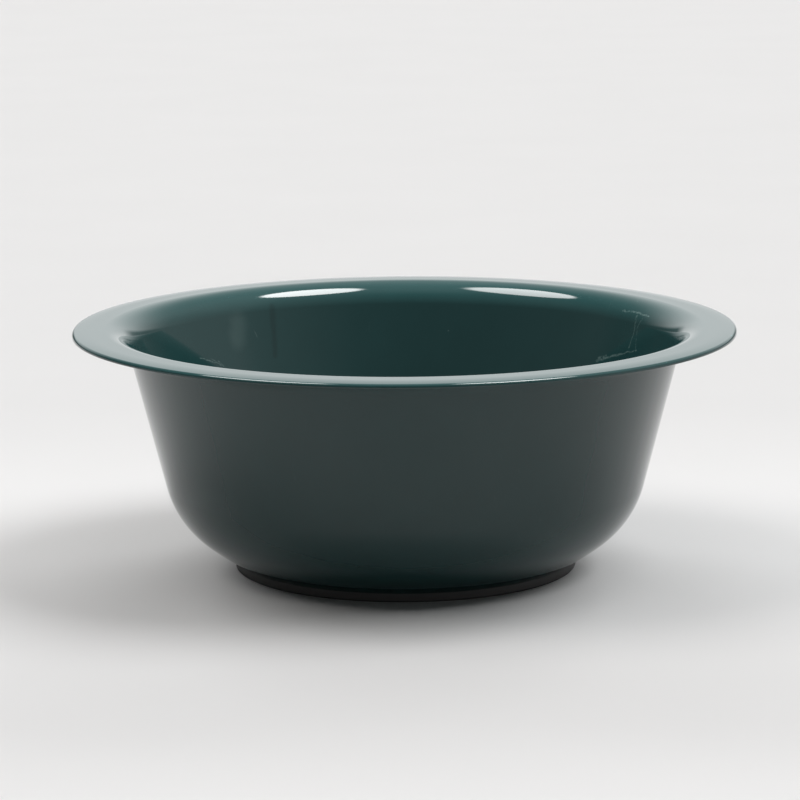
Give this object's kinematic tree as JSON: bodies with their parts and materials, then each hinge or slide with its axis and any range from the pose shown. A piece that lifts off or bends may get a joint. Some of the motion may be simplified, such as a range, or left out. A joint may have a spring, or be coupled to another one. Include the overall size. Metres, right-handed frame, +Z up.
{
  "type": "mixing tub",
  "caption": "Round, wide-brimmed moulded plastic mixing tub with a tapered wall, rounded belly and a low rubber foot ring.",
  "frame": {"origin": "on the tub's axis, on the plane that the foot ring stands on", "axes": "+Z up along the tub's axis of symmetry, out of the mouth; +X and +Y are free choices across a round part"},
  "size_m": [0.36, 0.3598, 0.1326],
  "materials": {
    "tub_plastic": "smooth glossy moulded plastic, very dark blue-green, with fine handling scratches",
    "foot_rubber": "satin black moulded rubber"
  },
  "bodies": {
    "root": {"tub_shell": "tub_plastic", "foot_ring": "foot_rubber"}
  },
  "joints": []
}
